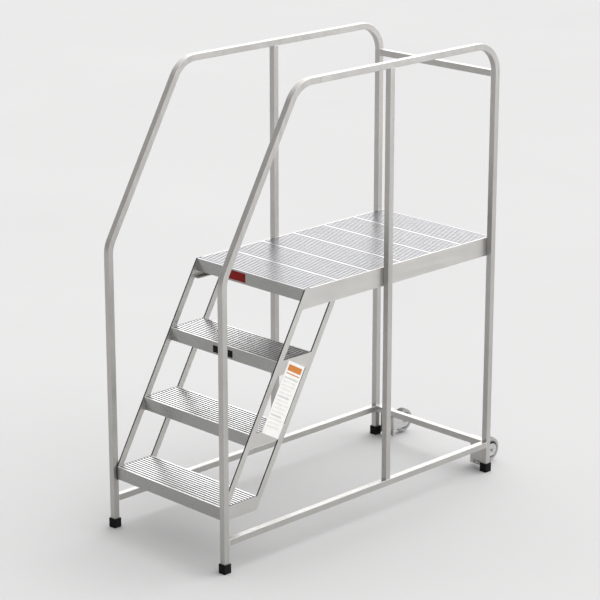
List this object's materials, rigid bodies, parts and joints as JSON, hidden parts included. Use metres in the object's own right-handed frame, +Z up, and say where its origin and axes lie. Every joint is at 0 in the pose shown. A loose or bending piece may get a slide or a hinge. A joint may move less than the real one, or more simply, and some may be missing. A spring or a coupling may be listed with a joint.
{
  "type": "mobile ladder stand",
  "caption": "Welded square-tube ladder stand with ribbed treads and platform, bent handrails, rubber feet and two rear tilt wheels.",
  "frame": {"origin": "on the floor under the middle of the stand's bounding box", "axes": "+X is the right side, +Y the climbing direction (steps at -Y, wheels at +Y), +Z up"},
  "size_m": [0.67, 1.6556, 1.8288],
  "materials": {
    "tube_aluminium": "satin mill",
    "flat_aluminium": "satin mill",
    "ribbed_aluminium": "extruded, ribbed",
    "zinc_steel": "zinc plated",
    "foot_rubber": "matte",
    "tyre_rubber": "matte",
    "hub_plastic": "matte",
    "bearing_bush": "matte",
    "white_sign": "matte film",
    "red_sign": "gloss film",
    "black_sign": "gloss film"
  },
  "bodies": {
    "frame": {"axle_bolt_left": "zinc_steel", "axle_bolt_right": "zinc_steel", "axle_nut_left": "zinc_steel", "axle_nut_right": "zinc_steel", "axle_sleeve_left": "zinc_steel", "axle_sleeve_right": "zinc_steel", "base_rail_left": "tube_aluminium", "base_rail_right": "tube_aluminium", "caster_bolts_left": "zinc_steel", "caster_bolts_right": "zinc_steel", "caster_carrier_left": "flat_aluminium", "caster_carrier_right": "flat_aluminium", "caster_fork_left": "zinc_steel", "caster_fork_right": "zinc_steel", "caster_nuts_left": "zinc_steel", "caster_nuts_right": "zinc_steel", "foot_front_left": "foot_rubber", "foot_front_right": "foot_rubber", "foot_rear_left": "foot_rubber", "foot_rear_right": "foot_rubber", "front_stringer_left": "flat_aluminium", "front_stringer_right": "flat_aluminium", "handrail_left": "tube_aluminium", "handrail_right": "tube_aluminium", "instruction_placard": "white_sign", "mid_post_left": "tube_aluminium", "mid_post_right": "tube_aluminium", "platform_plank_1": "ribbed_aluminium", "platform_plank_2": "ribbed_aluminium", "platform_plank_3": "ribbed_aluminium", "platform_plank_4": "ribbed_aluminium", "platform_plank_5": "ribbed_aluminium", "platform_plank_6": "ribbed_aluminium", "platform_red_band": "red_sign", "platform_side_channel_left": "flat_aluminium", "platform_side_channel_right": "flat_aluminium", "rear_lower_crossbar": "tube_aluminium", "rear_stringer_left": "flat_aluminium", "rear_stringer_right": "flat_aluminium", "rear_upper_crossbar": "tube_aluminium", "tread_1": "ribbed_aluminium", "tread_1_end_plate_left": "flat_aluminium", "tread_1_end_plate_right": "flat_aluminium", "tread_2": "ribbed_aluminium", "tread_2_end_plate_left": "flat_aluminium", "tread_2_end_plate_right": "flat_aluminium", "tread_3": "ribbed_aluminium", "tread_3_end_plate_left": "flat_aluminium", "tread_3_end_plate_right": "flat_aluminium", "tread_black_plate": "black_sign"},
    "wheel_left": {"wheel_bearing_left": "bearing_bush", "wheel_hub_left": "hub_plastic", "wheel_tyre_left": "tyre_rubber"},
    "wheel_right": {"wheel_bearing_right": "bearing_bush", "wheel_hub_right": "hub_plastic", "wheel_tyre_right": "tyre_rubber"}
  },
  "joints": [
    {"name": "wheel_left_spin", "type": "hinge", "parent": "frame", "child": "wheel_left", "pos_m": [-0.25, 0.77695, 0.057], "axis": [1, 0, 0], "continuous": true},
    {"name": "wheel_right_spin", "type": "hinge", "parent": "frame", "child": "wheel_right", "pos_m": [0.25, 0.77695, 0.057], "axis": [1, 0, 0], "continuous": true}
  ]
}
